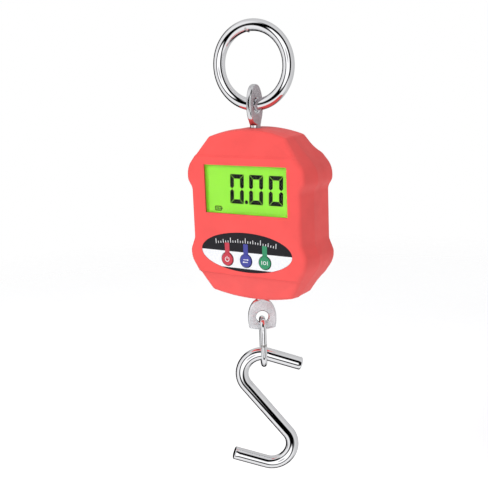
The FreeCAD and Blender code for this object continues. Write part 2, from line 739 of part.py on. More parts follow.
def display_stack():
    """Clear lens, LCD, light guide, contact strip and the frame that holds them."""
    lens_half = D.window_half + D.lens_lap
    lens_y = D.lens_sink - D.front
    in_case(box(span(1, D.window_x, lens_half), (lens_y, lens_y + D.lens_thick),
                (-D.window_low - D.lens_lap, D.lens_lap - D.window_top)), "window_lens")
    lcd_y = lens_y + D.lens_thick + 0.3
    light_y = lcd_y + D.lcd_thick
    height = (-D.lcd_low, -D.lcd_top)
    in_case(box(span(1, D.window_x, D.lcd_half), (lcd_y, light_y), height), "lcd_panel")
    in_case(box(span(1, D.window_x, D.lcd_half), (light_y, light_y + D.light_thick),
                (D.strip_thick + 0.7 - D.lcd_low, -D.lcd_top)), "lcd_backlight")
    in_case(box(span(1, D.window_x, D.lcd_half - 2), (light_y, -D.board_face),
                (0.2 - D.lcd_low, 0.2 + D.strip_thick - D.lcd_low)), "lcd_contact_strip")
    gap = 0.2
    outside = box(span(1, D.window_x, D.lcd_half + D.bezel_wall), (lcd_y - 0.1, -D.board_face),
                  (-D.lcd_low - D.bezel_wall, D.bezel_wall - D.lcd_top))
    opening = box(span(1, D.window_x, D.lcd_half + gap), (-20, 0),
                  (-D.lcd_low - gap, gap - D.lcd_top))
    in_case(cut(outside, [opening]), "lcd_frame")


def control_panel():
    """Thin oval panel with holes for the three buttons."""
    low = D.panel_sink - D.front - D.panel_thick - 0.02
    plate = oval_block("panel_plate", 0, low, low + D.panel_thick)
    holes = button_holes(D.button_size / 2 + D.button_gap, -20, -10)
    in_case(cut(plate, holes), "control_panel")


def buttons():
    """Round keys that stand proud of the panel; a flange behind the case wall keeps each one in."""
    flange_face = D.wall - D.front + 0.3
    for label, number in BUTTONS:
        x = number * D.button_pitch
        key = rod("Y", -D.front - D.button_proud, flange_face + 0.5, D.button_size / 2, x=x,
                  z=-D.button_level)
        flange = rod("Y", flange_face, flange_face + 1, D.button_flange / 2, x=x, z=-D.button_level)
        in_case(fuse([key, flange]), label)


def circuit_board():
    """Board across the case behind the display, its lower corners cut off."""
    body = new_body("board")
    cutoff = D.board_corner
    low, half = -D.board_low, D.board_half
    outline = [(half, -D.board_top), (half, low + cutoff), (half - cutoff, low), (cutoff - half, low),
               (-half, low + cutoff), (-half, -D.board_top)]
    back = D.board_thick - D.board_face
    pad(body, "XZ", -D.board_face, back, lambda s: draw_outline(s, outline))
    for x, z in board_posts():
        pocket(body, "XZ", -D.board_face - 1, back + 1, lambda s: draw_circle(s, x, z, 1.15))
    in_case(body, "circuit_board")


def board_pieces():
    """Switches in front of the board and chips behind it."""
    face, back = -D.board_face, D.board_thick - D.board_face
    switches = []
    for _, number in BUTTONS:
        middle = number * D.button_pitch
        body = box((middle - 3, middle + 3), (face - 1.5, face), (-D.button_level - 3, 3 - D.button_level))
        plunger = rod("Y", face - 2.2, face - 1, 1.6, x=middle, z=-D.button_level)
        switches.append(fuse([body, plunger]))
    in_case(group(switches), "tact_switches")
    in_case(box((24, 32), (back, back + 1.6), (-46, -38)), "control_chip")
    in_case(box((24, 30), (back, back + 1.4), (-66, -61)), "gauge_amplifier")
    in_case(rod("Y", back, back + 3.2, 4.5, x=-28, z=-68), "buzzer")


def screws_along_y(label, places, seat, head, head_thick, shank, length, towards):
    """Equal screws; towards is the way their points look along Y."""
    pieces = []
    for x, z in places:
        ends = sorted((as_dim(seat), as_dim(seat) - towards * head_thick), key=float)
        tips = sorted((as_dim(seat) - towards * 0.2, as_dim(seat) + towards * length), key=float)
        pieces.append(fuse([rod("Y", *ends, head / 2, x=x, z=z), rod("Y", *tips, shank / 2, x=x, z=z)]))
    in_case(group(pieces), label)


def fasteners():
    """Screws of the case, the board and the load cell."""
    screws_along_y("case_screws", screw_places(), D.screw_seat, D.screw_head, as_dim(2.2),
                   D.screw_shank, D.screw_length, -1)
    board_back = D.board_thick - D.board_face
    screws_along_y("board_screws", board_posts(), board_back, as_dim(3.8), as_dim(1.2), as_dim(1.8),
                   as_dim(5), -1)
    seats = [(side * D.cell_screw_x, CELL_LEVEL) for side in SIDES]
    screws_along_y("load_cell_screws", seats, -D.cell_thick / 2 + 2.5, as_dim(5.4), as_dim(2.3),
                   as_dim(3), as_dim(14), 1)


# ---------------------------------------------------------------- load cell and power

def load_cell():
    """S-shaped beam: a slot from each side, a dumb-bell window between them and a bore in each arm."""
    body = new_body("cell")
    half, top, low = D.cell_half, -D.cell_top, -CELL_LOW
    left_slot, right_slot = top - D.cell_arm, low + D.cell_arm
    web = half - D.cell_web
    outline = [
        (half, top), (half, right_slot + D.cell_slot), (-web, right_slot + D.cell_slot), (-web, right_slot),
        (half, right_slot), (half, low), (-half, low), (-half, left_slot - D.cell_slot),
        (web, left_slot - D.cell_slot), (web, left_slot), (-half, left_slot), (-half, top),
    ]
    front, back = -D.cell_thick / 2, D.cell_thick / 2
    pad(body, "XZ", front, back, lambda s: draw_outline(s, outline))
    for side in SIDES:
        x = side * D.gauge_x
        pocket(body, "XZ", front - 1, back + 1, lambda s: draw_circle(s, x, CELL_LEVEL, D.gauge_hole / 2))
    slot = D.gauge_slot / 2
    reach = D.gauge_x
    bridge = [(reach, CELL_LEVEL + slot), (reach, CELL_LEVEL - slot), (-reach, CELL_LEVEL - slot),
              (-reach, CELL_LEVEL + slot)]
    pocket(body, "XZ", front - 1, back + 1, lambda s: draw_outline(s, bridge))
    bore = D.shank / 2 + D.bore_gap
    pocket(body, "XY", left_slot - 1, top + 1, lambda s: draw_circle(s, 0, 0, bore))
    pocket(body, "XY", low - 1, right_slot + 1, lambda s: draw_circle(s, 0, 0, bore))
    for side in SIDES:
        x = side * D.cell_screw_x
        pocket(body, "XZ", front - 1, back + 1, lambda s: draw_circle(s, x, CELL_LEVEL, as_dim(1.7)))
        pocket(body, "XZ", front - 1, front + 2.5, lambda s: draw_circle(s, x, CELL_LEVEL, as_dim(2.95)))
    in_case(body, "load_cell")


def strain_gauges():
    """Four foil gauges where the beam is thinnest, above and below the dumb-bell window."""
    upper = -D.cell_top - D.cell_arm - D.cell_slot
    lower = -CELL_LOW + D.cell_arm + D.cell_slot
    foils = []
    for side in SIDES:
        middle = side * D.gauge_x
        for low, high in ((upper, upper + 0.2), (lower - 0.2, lower)):
            foils.append(box((middle - 2.5, middle + 2.5), (-2, 2), (low, high)))
    in_case(group(foils), "strain_gauges")


def battery_limits(side):
    """Ends of a cell's can: the left one has its nub at the top plate, the right one at the bottom plate."""
    rest = PLATE + 0.05 + D.nub_height
    if side < 0:
        return (-D.bay_top - rest - D.battery_length, -D.bay_top - rest)
    return (BAY_LOW + rest, BAY_LOW + rest + D.battery_length)


def batteries():
    """Two AAA cells, one with its nub up and one with its nub down."""
    for label, side in (("left_battery", -1), ("right_battery", 1)):
        x = side * D.battery_x
        low, high = battery_limits(side)
        can = rod("Z", low, high, D.battery_size / 2, x=x, y=D.battery_y)
        nub_low = high - 0.1 if side < 0 else low - D.nub_height
        nub = rod("Z", nub_low, nub_low + D.nub_height + 0.1, D.nub_size / 2, x=x, y=D.battery_y)
        in_case(fuse([can, nub]), label)


def battery_contacts():
    """Flat plates at both ends of each bay and coil springs at the cells' flat ends."""
    plates = []
    for side in SIDES:
        wide = span(side, D.battery_x, 4.5)
        deep = (D.battery_y - 4.5, D.battery_y + 4.5)
        plates += [box(wide, deep, (level, level + PLATE)) for level in (BAY_LOW, -D.bay_top - PLATE)]
    in_case(group(plates), "battery_plates")
    springs = []
    clear = 0.4
    for side in SIDES:
        low, high = battery_limits(side)
        ends = (BAY_LOW + PLATE, low) if side < 0 else (high, -D.bay_top - PLATE)
        springs.append(coil(side * float(D.battery_x), float(D.battery_y), float(ends[0]) + clear,
                            float(ends[1]) - clear))
    in_case(from_shape(Part.makeCompound(springs)), "battery_springs")


def coil(x, y, low, high, radius=3.0, wire=0.35, turns=3, per_turn=6):
    """Open coil spring standing at a place: one short arc after another, wound up the Z axis."""
    count = turns * per_turn

    def at(step):
        angle = 2 * pi * step / per_turn
        return Vector(x + radius * cos(angle), y + radius * sin(angle), low + (high - low) * step / count)

    arcs = [Part.Arc(at(step), at(step + 0.5), at(step + 1)).toShape() for step in range(count)]
    heading = arcs[0].tangentAt(arcs[0].FirstParameter)
    profile = Part.Wire([Part.makeCircle(wire, at(0), heading)])
    return Part.Wire(arcs).makePipeShell([profile], True, True, 1)


def leads():
    """Wires from the gauges and the batteries to the board."""
    board_back = float(D.board_thick - D.board_face)
    thin = 0.4
    along_board = board_back + thin + 0.05
    wires = []
    for number in range(4):
        z = float(CELL_LEVEL) + 1.8 - 1.2 * number
        route = [Vector(-7, -1.5, z), Vector(-8, along_board, z), Vector(-27, along_board, z)]
        wires.append(tube_along(rounded_path(route, 2.5), thin))
    in_case(from_shape(Part.makeCompound(wires)), "load_cell_leads")
    tray_low = float(BAY_LOW - D.bay_wall)
    power = []
    for side in SIDES:
        x = side * 26
        route = [Vector(x, board_back, tray_low - 2.5), Vector(x, 9, tray_low - 2.5), Vector(x, 9, tray_low)]
        power.append(tube_along(rounded_path(route), 0.6))
    inner_wall = float(D.battery_x - BAY_X)
    height = -float(D.bay_top) - 4
    power.append(Part.makeCylinder(0.6, 2 * inner_wall, Vector(-inner_wall, 8.5, height), Vector(1, 0, 0)))
    in_case(from_shape(Part.makeCompound(power)), "battery_leads")


# ---------------------------------------------------------------- assembly and output

def check_document():
    """Stop if any object failed or any sub-part isn't made of sound solids."""
    DOC.recompute()
    for obj in DOC.Objects:
        if "Invalid" in obj.State or "Error" in obj.State:
            raise RuntimeError(f"{obj.Name} ({obj.Label}) failed: {obj.State}")
    labels = [obj.Label for obj in PARTS]
    if len(set(labels)) != len(labels):
        raise RuntimeError("two sub-parts share a label")
    for obj in PARTS:
        shape = obj.Shape
        if shape.isNull() or not shape.isValid() or not shape.Solids:
            raise RuntimeError(f"{obj.Label} has no sound solid")


def write_parts():
    """Write one STEP file for each sub-part."""
    os.makedirs("parts", exist_ok=True)
    for obj in PARTS:
        obj.Shape.exportStep(f"parts/{obj.Label}.step")
        limits = obj.Shape.BoundBox
        print(f"{obj.Label:22s} solids {len(obj.Shape.Solids)}  volume {obj.Shape.Volume:9.1f}  "
              f"x {limits.XMin:7.2f} {limits.XMax:7.2f}  y {limits.YMin:7.2f} {limits.YMax:7.2f}  "
              f"z {limits.ZMin:8.2f} {limits.ZMax:8.2f}")


def build():
    """Make every sub-part."""
    hanging_ring()
    upper_eye_bolt()
    lower_eye_bolt()
    swivel_hardware()
    connecting_link()
    s_hook()
    front_outer = front_form("front_outer", as_dim(0))
    round_rims(front_outer, D.crease_round)
    rear_outer = rear_form("rear_outer", as_dim(0))
    round_rims(rear_outer, D.step_round)
    front_shell(front_outer, front_form("front_hollow", D.wall))
    rear_shell(rear_outer, rear_form("rear_hollow", D.wall))
    battery_cover(rear_outer)
    display_stack()
    control_panel()
    buttons()
    circuit_board()
    board_pieces()
    fasteners()
    load_cell()
    strain_gauges()
    batteries()
    battery_contacts()
    leads()


def is_crease(edge):
    """Whether an edge runs across the case where a face leans back, steps in or ends its step."""
    half = float(D.case_height) / 2
    zone = float(D.lean_zone)
    levels = [half - abs(vertex.Point.z + half) for vertex in edge.Vertexes]
    return (abs(levels[0] - levels[-1]) < 0.01 and edge.Length > float(D.waist_half)
            and min(abs(levels[0] - zone), abs(levels[0] - zone + float(D.step_run))) < 0.01)


def rim_test(shape):
    """Test for the edges, away from the parting plane, where the front or the back meets the sides."""
    def facing(edge):
        steepness = []
        for face in shape.ancestorsOfType(edge, Part.Face):
            u_low, u_high, v_low, v_high = face.ParameterRange
            steepness.append(abs(face.normalAt((u_low + u_high) / 2, (v_low + v_high) / 2).y))
        return steepness

    def on_rim(edge):
        steepness = facing(edge)
        away = abs(edge.CenterOfMass.y + float(D.parting)) > 1
        return away and len(steepness) == 2 and min(steepness) < 0.3 and max(steepness) > 0.5

    return on_rim


build()
check_document()
write_parts()
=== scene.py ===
"""Looks of the digital fish scale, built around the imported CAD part. Metres, +Z up, the display faces -Y."""

from math import asin, atan2, cos, exp, hypot, pi, radians, sin, sqrt

import bmesh
import bpy
from mathutils import Matrix, Vector


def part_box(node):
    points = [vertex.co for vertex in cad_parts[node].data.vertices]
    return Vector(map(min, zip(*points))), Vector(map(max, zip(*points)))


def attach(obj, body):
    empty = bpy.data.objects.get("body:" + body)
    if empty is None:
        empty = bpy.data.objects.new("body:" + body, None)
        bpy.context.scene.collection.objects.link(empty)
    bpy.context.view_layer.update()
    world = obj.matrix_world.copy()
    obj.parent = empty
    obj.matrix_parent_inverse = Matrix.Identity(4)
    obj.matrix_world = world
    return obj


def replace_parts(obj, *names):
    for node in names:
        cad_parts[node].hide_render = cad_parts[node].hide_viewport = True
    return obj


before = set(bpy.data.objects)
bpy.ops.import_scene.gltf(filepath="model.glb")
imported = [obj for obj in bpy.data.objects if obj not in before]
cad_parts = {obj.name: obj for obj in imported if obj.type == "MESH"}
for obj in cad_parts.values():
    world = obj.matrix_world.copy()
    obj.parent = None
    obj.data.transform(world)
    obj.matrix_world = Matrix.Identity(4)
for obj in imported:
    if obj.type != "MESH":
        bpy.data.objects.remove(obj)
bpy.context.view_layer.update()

MM = 0.001

# driving sizes, in millimetres, as in the CAD part
RING_TURN = 3.5
LOWER_TURN = 35.0
CASE_TOP = -54.6
CREASE_TOP = CASE_TOP - 16.0
CREASE_LOW = CASE_TOP - 85.6
KEY_LEVEL = CASE_TOP - 76.5
KEY_PITCH = 12.9
BAND_TOP = -126.15
BAND_LOW = -136.0
SCREW_SPOTS = [(x, CASE_TOP - level) for x in (-24.0, 24.0) for level in (11.5, 90.5)]

# how far printed marks stand out of their surface, thin ones less, and how deep they reach into it
PROUD = 0.05
THIN = 0.04
SUNK = 0.1

# ---------------------------------------------------------------- node helpers

def srgb(red, green, blue):
    """Linear colour from 0-255 display values."""
    def linear(value):
        value /= 255
        return value / 12.92 if value <= 0.04045 else ((value + 0.055) / 1.055) ** 2.4
    return (linear(red), linear(green), linear(blue), 1.0)


def put(tree, socket, value):
    """Link a socket's source to another socket, or set it to a plain value."""
    if isinstance(value, bpy.types.NodeSocket):
        tree.links.new(value, socket)
    else:
        socket.default_value = value


def blend_colours(tree, factor, first, second):
    """Mix of two colours; a Mix node keeps its colour sockets at 6 and 7, and their result at 2."""
    node = tree.nodes.new("ShaderNodeMix")
    node.data_type = "RGBA"
    for number, value in ((0, factor), (6, first), (7, second)):
        put(tree, node.inputs[number], value)
    return node.outputs[2]


def colour_ramp(tree, source, stops):
    """Colours at places from 0 to 1 along a source."""
    node = tree.nodes.new("ShaderNodeValToRGB")
    points = node.color_ramp.elements
    while len(points) < len(stops):
        points.new(0.5)
    for point, (place, colour) in zip(points, stops):
        point.position = place
        point.color = colour if len(colour) == 4 else (*colour, 1)
    tree.links.new(source, node.inputs["Fac"])
    return node.outputs["Color"]


class Maker:
    """Short way to add and join shader nodes of one material."""

    def __init__(self, name):
        self.material = bpy.data.materials.new(name)
        self.material.use_nodes = True
        self.tree = self.material.node_tree
        self.shader = self.tree.nodes["Principled BSDF"]
        self.coords = self.tree.nodes.new("ShaderNodeTexCoord").outputs["Object"]

    def link(self, source, target):
        self.tree.links.new(source, target)

    def node(self, kind, **inputs):
        made = self.tree.nodes.new(kind)
        for name, value in inputs.items():
            self.put(made.inputs[name], value)
        return made

    def put(self, socket, value):
        put(self.tree, socket, value)

    def mapped(self, scale):
        node = self.tree.nodes.new("ShaderNodeMapping")
        node.inputs["Scale"].default_value = scale
        self.link(self.coords, node.inputs["Vector"])
        return node.outputs["Vector"]

    def noise(self, scale, detail=3.0, rough=0.5, stretch=None):
        vector = self.mapped(stretch) if stretch else self.coords
        node = self.node("ShaderNodeTexNoise", Scale=scale, Detail=detail, Roughness=rough)
        self.link(vector, node.inputs["Vector"])
        return node.outputs["Fac"]

    def cells(self, scale):
        node = self.node("ShaderNodeTexVoronoi", Scale=scale)
        self.link(self.coords, node.inputs["Vector"])
        return node.outputs["Distance"]

    def ramp(self, source, stops):
        return colour_ramp(self.tree, source, stops)

    def range(self, source, low, high, to_low, to_high):
        node = self.node("ShaderNodeMapRange")
        for name, value in (("From Min", low), ("From Max", high), ("To Min", to_low), ("To Max", to_high)):
            node.inputs[name].default_value = value
        self.link(source, node.inputs["Value"])
        return node.outputs["Result"]

    def math(self, kind, first, second=0.0):
        node = self.tree.nodes.new("ShaderNodeMath")
        node.operation = kind
        self.put(node.inputs[0], first)
        self.put(node.inputs[1], second)
        return node.outputs[0]

    def blend(self, factor, first, second):
        return blend_colours(self.tree, factor, first, second)

    def axis(self, letter):
        node = self.tree.nodes.new("ShaderNodeSeparateXYZ")
        self.link(self.coords, node.inputs[0])
        return node.outputs[letter]

    def bump(self, height, strength, depth, below=None):
        node = self.tree.nodes.new("ShaderNodeBump")
        node.inputs["Strength"].default_value = strength
        node.inputs["Distance"].default_value = depth
        self.link(height, node.inputs["Height"])
        if below is not None:
            self.link(below, node.inputs["Normal"])
        return node.outputs["Normal"]

    def set(self, **sockets):
        for name, value in sockets.items():
            self.put(self.shader.inputs[name.replace("_", " ")], value)
        return self


def moulded(name, colour, roughness=0.42, grain=0.25, specular=0.5, shade=0.9, coat=0.0):
    """Moulded plastic: fine eroded grain, faint cloudiness and rubbed patches."""
    make = Maker(name)
    dark = tuple(channel * shade for channel in colour[:3])
    cloud = make.noise(60, 4)
    base = make.ramp(cloud, [(0.3, dark), (0.7, colour)])
    speck = make.noise(2600, 2)
    base = make.blend(make.range(speck, 0.3, 0.7, 0.0, 0.12), base, (*dark, 1))
    rub = make.noise(180, 5, 0.6)
    rough = make.range(rub, 0.3, 0.7, roughness - 0.06, roughness + 0.08)
    fine = make.bump(make.noise(3200, 3), grain, 0.00004)
    wave = make.bump(make.noise(35, 2), 0.05, 0.0006, fine)
    make.set(Base_Color=base, Roughness=rough, Normal=wave)
    make.shader.inputs["Specular IOR Level"].default_value = specular
    make.shader.inputs["Coat Weight"].default_value = coat
    return make


def crease_shaded(make, shadow):
    """The same plastic with painted shade: its colour darkens towards the shadow colour where ambient
    occlusion finds faces meeting in a hollow.
    """
    hollow = make.node("ShaderNodeAmbientOcclusion")
    hollow.samples = 8
    hollow.inputs["Distance"].default_value = 5.0 * MM
    base = make.shader.inputs["Base Color"].links[0].from_socket
    depth = make.range(hollow.outputs["AO"], 0.55, 0.97, 0.0, 1.0)
    # painted shade: ambient occlusion blends the base colour towards the shadow colour in creases and hollows
    make.set(Base_Color=make.blend(depth, shadow, base))
    return make.material


def metal(name, colour, roughness, grain_scale, grain_depth, stretch=None, spread=0.05, dirt=0.1):
    """Metal with its own grain, uneven polish and a little staining."""
    make = Maker(name)
    stain = make.noise(90, 5, 0.6)
    dull = tuple(channel * (1 - dirt) for channel in colour[:3])
    base = make.ramp(stain, [(0.35, dull), (0.6, colour)])
    polish = make.noise(260, 4, 0.6)
    rough = make.range(polish, 0.3, 0.7, max(roughness - spread, 0.02), roughness + spread)
    normal = make.bump(make.noise(grain_scale, 4, 0.6, stretch), 0.3, grain_depth)
    make.set(Base_Color=base, Roughness=rough, Normal=normal)
    make.shader.inputs["Metallic"].default_value = 1.0
    return make


def blasted(name, colour, pits):
    """Dull plated face as it left the forge: fine pits and cloudy patches."""
    make = Maker(name)
    grain = make.cells(1700)
    base = make.ramp(grain, [(0.1, pits[:3]), (0.45, colour)])
    cloud = make.noise(300, 4, 0.6)
    base = make.blend(make.range(cloud, 0.35, 0.7, 0.0, 0.35), base, pits)
    normal = make.bump(grain, 0.5, 0.00012)
    normal = make.bump(make.noise(1400, 4, 0.7), 0.4, 0.00015, normal)
    make.set(Base_Color=base, Roughness=make.range(cloud, 0.3, 0.7, 0.42, 0.6), Normal=normal)
    make.shader.inputs["Metallic"].default_value = 0.35
    return make


def display_material():
    """Lit display glass: a slightly uneven glow with fine upright lines."""
    make = Maker("lcd_green")
    glow = make.noise(25, 2)
    base = make.ramp(glow, [(0.35, srgb(132, 206, 44)), (0.65, srgb(140, 214, 50))])
    line_pitch = 0.6 * MM
    lines = make.math("SINE", make.math("MULTIPLY", make.axis("X"), 2 * pi / line_pitch))
    base = make.blend(make.range(lines, 0.4, 1.0, 0.0, 0.05), base, srgb(120, 205, 60))
    rough = make.range(make.noise(500, 3), 0.3, 0.7, 0.3, 0.4)
    make.set(Base_Color=base, Roughness=rough, Emission_Color=base)
    make.shader.inputs["Emission Strength"].default_value = 0.4
    return make.material


def printed_panel_material():
    """Printed film: charcoal above, a white band with the keys, charcoal below."""
    make = Maker("panel_print")
    level = make.axis("Z")
    upper = make.math("GREATER_THAN", level, BAND_TOP * MM)
    lower = make.math("LESS_THAN", level, BAND_LOW * MM)
    dark = make.math("MAXIMUM", upper, lower)
    weave = make.noise(1500, 3)
    charcoal = make.ramp(weave, [(0.3, srgb(22, 21, 26)), (0.7, srgb(36, 35, 41))])
    white = make.ramp(make.noise(900, 3), [(0.3, srgb(238, 240, 244)), (0.7, srgb(250, 250, 252))])
    base = make.blend(dark, white, charcoal)
    normal = make.bump(make.noise(2400, 3), 0.2, 0.00003)
    rough = make.range(make.noise(200, 4), 0.3, 0.7, 0.34, 0.46)
    make.set(Base_Color=base, Normal=normal, Roughness=rough)
    make.shader.inputs["Specular IOR Level"].default_value = 0.25
    return make.material


def window_material():
    """Clear acrylic with hairline scuffs."""
    make = Maker("clear_acrylic")
    scuffs = make.noise(900, 5, 0.7, (1, 1, 0.15))
    rough = make.range(scuffs, 0.45, 0.75, 0.01, 0.05)
    make.set(Roughness=rough, Normal=make.bump(scuffs, 0.03, 0.00001))
    make.shader.inputs["Transmission Weight"].default_value = 1.0
    make.shader.inputs["IOR"].default_value = 1.16
    make.shader.inputs["Base Color"].default_value = (0.98, 1.0, 0.98, 1)
    return make.material


# painted shade colour for the case's creases and hollows
CREASE_SHADE_RED = srgb(190, 44, 46)
RED = crease_shaded(moulded("case_red", srgb(255, 91, 88), roughness=0.48, grain=0.22, specular=0.4), CREASE_SHADE_RED)
COVER_RED = crease_shaded(moulded("cover_red", srgb(250, 88, 86), roughness=0.5, specular=0.4), CREASE_SHADE_RED)
CHROME = metal("chrome_plate", (0.88, 0.88, 0.9), 0.035, 700, 0.000005, spread=0.015, dirt=0.05).material
# two copies of one forged face: the lighter one for the lower eye, the darker one painted shade for the upper
# eye
FORGED = blasted("forged_face", srgb(238, 240, 243), srgb(190, 188, 193)).material
SHADED_FORGED = blasted("shaded_forged_face", srgb(204, 196, 200), srgb(156, 148, 153)).material
EDGE = metal("plated_edge", (0.8, 0.8, 0.82), 0.14, 800, 0.00002, spread=0.04, dirt=0.1).material
WELD = metal("weld_bead", (0.6, 0.58, 0.57), 0.28, 1600, 0.00015, spread=0.08, dirt=0.3).material
ZINC = metal("zinc_plate", (0.66, 0.67, 0.7), 0.3, 900, 0.00003, dirt=0.2).material
ALUMINIUM = metal("milled_aluminium", (0.77, 0.78, 0.8), 0.32, 500, 0.00002, (1, 1, 12)).material
BRASS = metal("etched_foil", (0.75, 0.5, 0.25), 0.35, 900, 0.00002).material
NICKEL = metal("nickel_strip", (0.7, 0.69, 0.66), 0.25, 900, 0.00002).material
WHITE_PRINT = moulded("white_print", srgb(244, 244, 246), roughness=0.4, shade=0.95).material
RED_KEY = moulded("key_red", srgb(205, 52, 72), roughness=0.34, coat=0.3).material
BLUE_KEY = moulded("key_blue", srgb(62, 66, 160), roughness=0.34, coat=0.3).material
GREEN_KEY = moulded("key_green", srgb(38, 148, 100), roughness=0.34, coat=0.3).material
# black for the chips, switches and buzzer, and painted shade in the rings round the keys
BLACK_PART_AND_GAP_SHADE = moulded("black_epoxy_and_gap_shade", srgb(34, 34, 36), roughness=0.5).material
BOARD = moulded("board_green", srgb(24, 92, 50), roughness=0.35).material
FROSTED = moulded("frosted_guide", srgb(225, 232, 220), roughness=0.55).material
RUBBER = moulded("striped_rubber", srgb(70, 70, 74), roughness=0.7).material
JACKET = moulded("cell_jacket", srgb(30, 32, 38), roughness=0.3, coat=0.4).material
LEAD = moulded("lead_sleeve", srgb(170, 30, 30), roughness=0.4).material
INK = moulded("segment_ink", srgb(6, 10, 6), roughness=0.5, specular=0.1).material
DISPLAY = display_material()
PANEL = printed_panel_material()
WINDOW = window_material()

NODE_LOOKS = {
    "front_shell": RED, "rear_shell": RED, "battery_cover": COVER_RED, "window_lens": WINDOW,
    "lcd_panel": DISPLAY, "lcd_backlight": FROSTED, "lcd_contact_strip": RUBBER, "lcd_frame": FROSTED,
    "control_panel": PANEL, "power_button": RED_KEY, "unit_button": BLUE_KEY, "tare_button": GREEN_KEY,
    "circuit_board": BOARD, "tact_switches": BLACK_PART_AND_GAP_SHADE, "control_chip": BLACK_PART_AND_GAP_SHADE,
    "gauge_amplifier": BLACK_PART_AND_GAP_SHADE, "buzzer": BLACK_PART_AND_GAP_SHADE, "board_screws": ZINC, "load_cell_screws": ZINC,
    "load_cell": ALUMINIUM, "strain_gauges": BRASS, "left_battery": JACKET, "right_battery": JACKET,
    "battery_plates": NICKEL, "battery_springs": NICKEL, "load_cell_leads": LEAD, "battery_leads": LEAD,
    "upper_thrust_washer": ZINC, "lower_thrust_washer": ZINC, "upper_lock_nut": ZINC,
    "lower_lock_nut": ZINC, "hanging_ring": CHROME, "connecting_link": CHROME, "s_hook": CHROME,
    "upper_eye_bolt": FORGED, "lower_eye_bolt": FORGED, "case_screws": ZINC,
}
for node_name, look in NODE_LOOKS.items():
    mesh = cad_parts[node_name].data
    mesh.materials.clear()
    mesh.materials.append(look)


# ---------------------------------------------------------------- mesh helpers

def add_object(name, data):
    """New object in the scene, of a mesh, a light or a camera."""
    obj = bpy.data.objects.new(name, data)
    bpy.context.scene.collection.objects.link(obj)
    return obj


def piece(name, mesh, body, materials, smooth=True):
    """Finished piece that rides on a body and takes a material slot."""
    obj = add_object(name, mesh)
    for material in materials:
        mesh.materials.append(material)
    if smooth:
        mesh.shade_smooth()
    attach(obj, body)
    return obj


def mesh_from(name, build):
    """New mesh filled by a function that draws into a bmesh, in millimetres."""
    work = bmesh.new()
    build(work)
    bmesh.ops.recalc_face_normals(work, faces=work.faces[:])
    bmesh.ops.scale(work, vec=(MM, MM, MM), verts=work.verts[:])
    mesh = bpy.data.meshes.new(name)
    work.to_mesh(mesh)
    work.free()
    return mesh


def turned(degrees_about_z, x=0.0, y=0.0, z=0.0):
    """Placement turned about Z, in millimetres."""
    return Matrix.Translation((x, y, z)) @ Matrix.Rotation(radians(degrees_about_z), 4, "Z")


def ring_of(work, centre, across, normal, radius, count):
    """Vertices of one round cross-section; the radius may depend on the angle round it."""
    verts = []
    for step in range(count):
        angle = 2 * pi * step / count
        reach = radius(angle) if callable(radius) else radius
        verts.append(work.verts.new(centre + across * (reach * cos(angle)) + normal * (reach * sin(angle))))
    return verts


def bridge(work, first, second, material=0):
    """Faces between two equal rings."""
    count = len(first)
    for step in range(count):
        after = (step + 1) % count
        face = work.faces.new((first[step], first[after], second[after], second[step]))
        face.material_index = material


def loft(work, rings):
    """Closed solid through equal rings."""
    for first, second in zip(rings, rings[1:]):
        bridge(work, first, second)
    work.faces.new(rings[0])
    work.faces.new(rings[-1])


def sweep(work, stations, closed, place, count=40):
    """Round bar along planar stations: (x, z, heading angle, radius, material)."""
    rings = []
    for x, z, heading, radius, material in stations:
        across = Vector((-sin(heading), 0, cos(heading)))
        ring = ring_of(work, Vector((x, 0, z)), across, Vector((0, 1, 0)), radius, count)
        rings.append((ring, material))
    for (first, material), (second, _) in zip(rings, rings[1:]):
        bridge(work, first, second, material)
    if closed:
        bridge(work, rings[-1][0], rings[0][0], rings[-1][1])
    else:
        work.faces.new(rings[0][0])
        work.faces.new(rings[-1][0])
    bmesh.ops.transform(work, matrix=place, verts=work.verts[:])


def arc_stations(cx, cz, bend, start, end, radius, steps):
    """Stations round an arc; angles in radians, heading follows the sweep's sense."""
    sense = 1 if end > start else -1
    stations = []
    for step in range(steps + 1):
        angle = start + (end - start) * step / steps
        heading = angle + sense * pi / 2
        stations.append((cx + bend * cos(angle), cz + bend * sin(angle), heading, radius, 0))
    return stations


def hanging_ring():
    """Ring of bent wire, butt-welded a little to the left of its crown."""
    wire, bend, centre = 3.5, 22.5, -19.0
    weld, reach_of_weld, seam = radians(97), 4, 0.75
    steps = 280

    def bead(off):
        """Height of the weld and its two hollows at a distance along the wire."""
        return (0.5 * exp(-(off / 0.7) ** 2) - 0.3 * exp(-((off + 1.5) / 0.6) ** 2)
                - 0.14 * exp(-((off - 1.6) / 0.7) ** 2))

    def build(work):
        stations = []
        for step in range(steps):
            angle = 2 * pi * step / steps
            off = (angle - weld) * bend

            def welded(around, off=off):
                inward = max(cos(around - 0.35), 0) ** 1.5
                return wire + bead(off) * inward * (1 + 0.35 * sin(9 * around + 3 * off))

            radius = welded if abs(off) < reach_of_weld else wire
            material = 1 if abs(off) < seam else 0
            stations.append((bend * cos(angle), centre + bend * sin(angle), angle + pi / 2, radius, material))
        sweep(work, stations, True, turned(RING_TURN), 48)
        for face in work.faces:
            spot = face.calc_center_median()
            if hypot(spot.x, spot.z - centre) > bend - 1.2:
                face.material_index = 0

    ring = piece("welded_ring", mesh_from("welded_ring", build), "ring", [CHROME, WELD])
    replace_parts(ring, "hanging_ring")


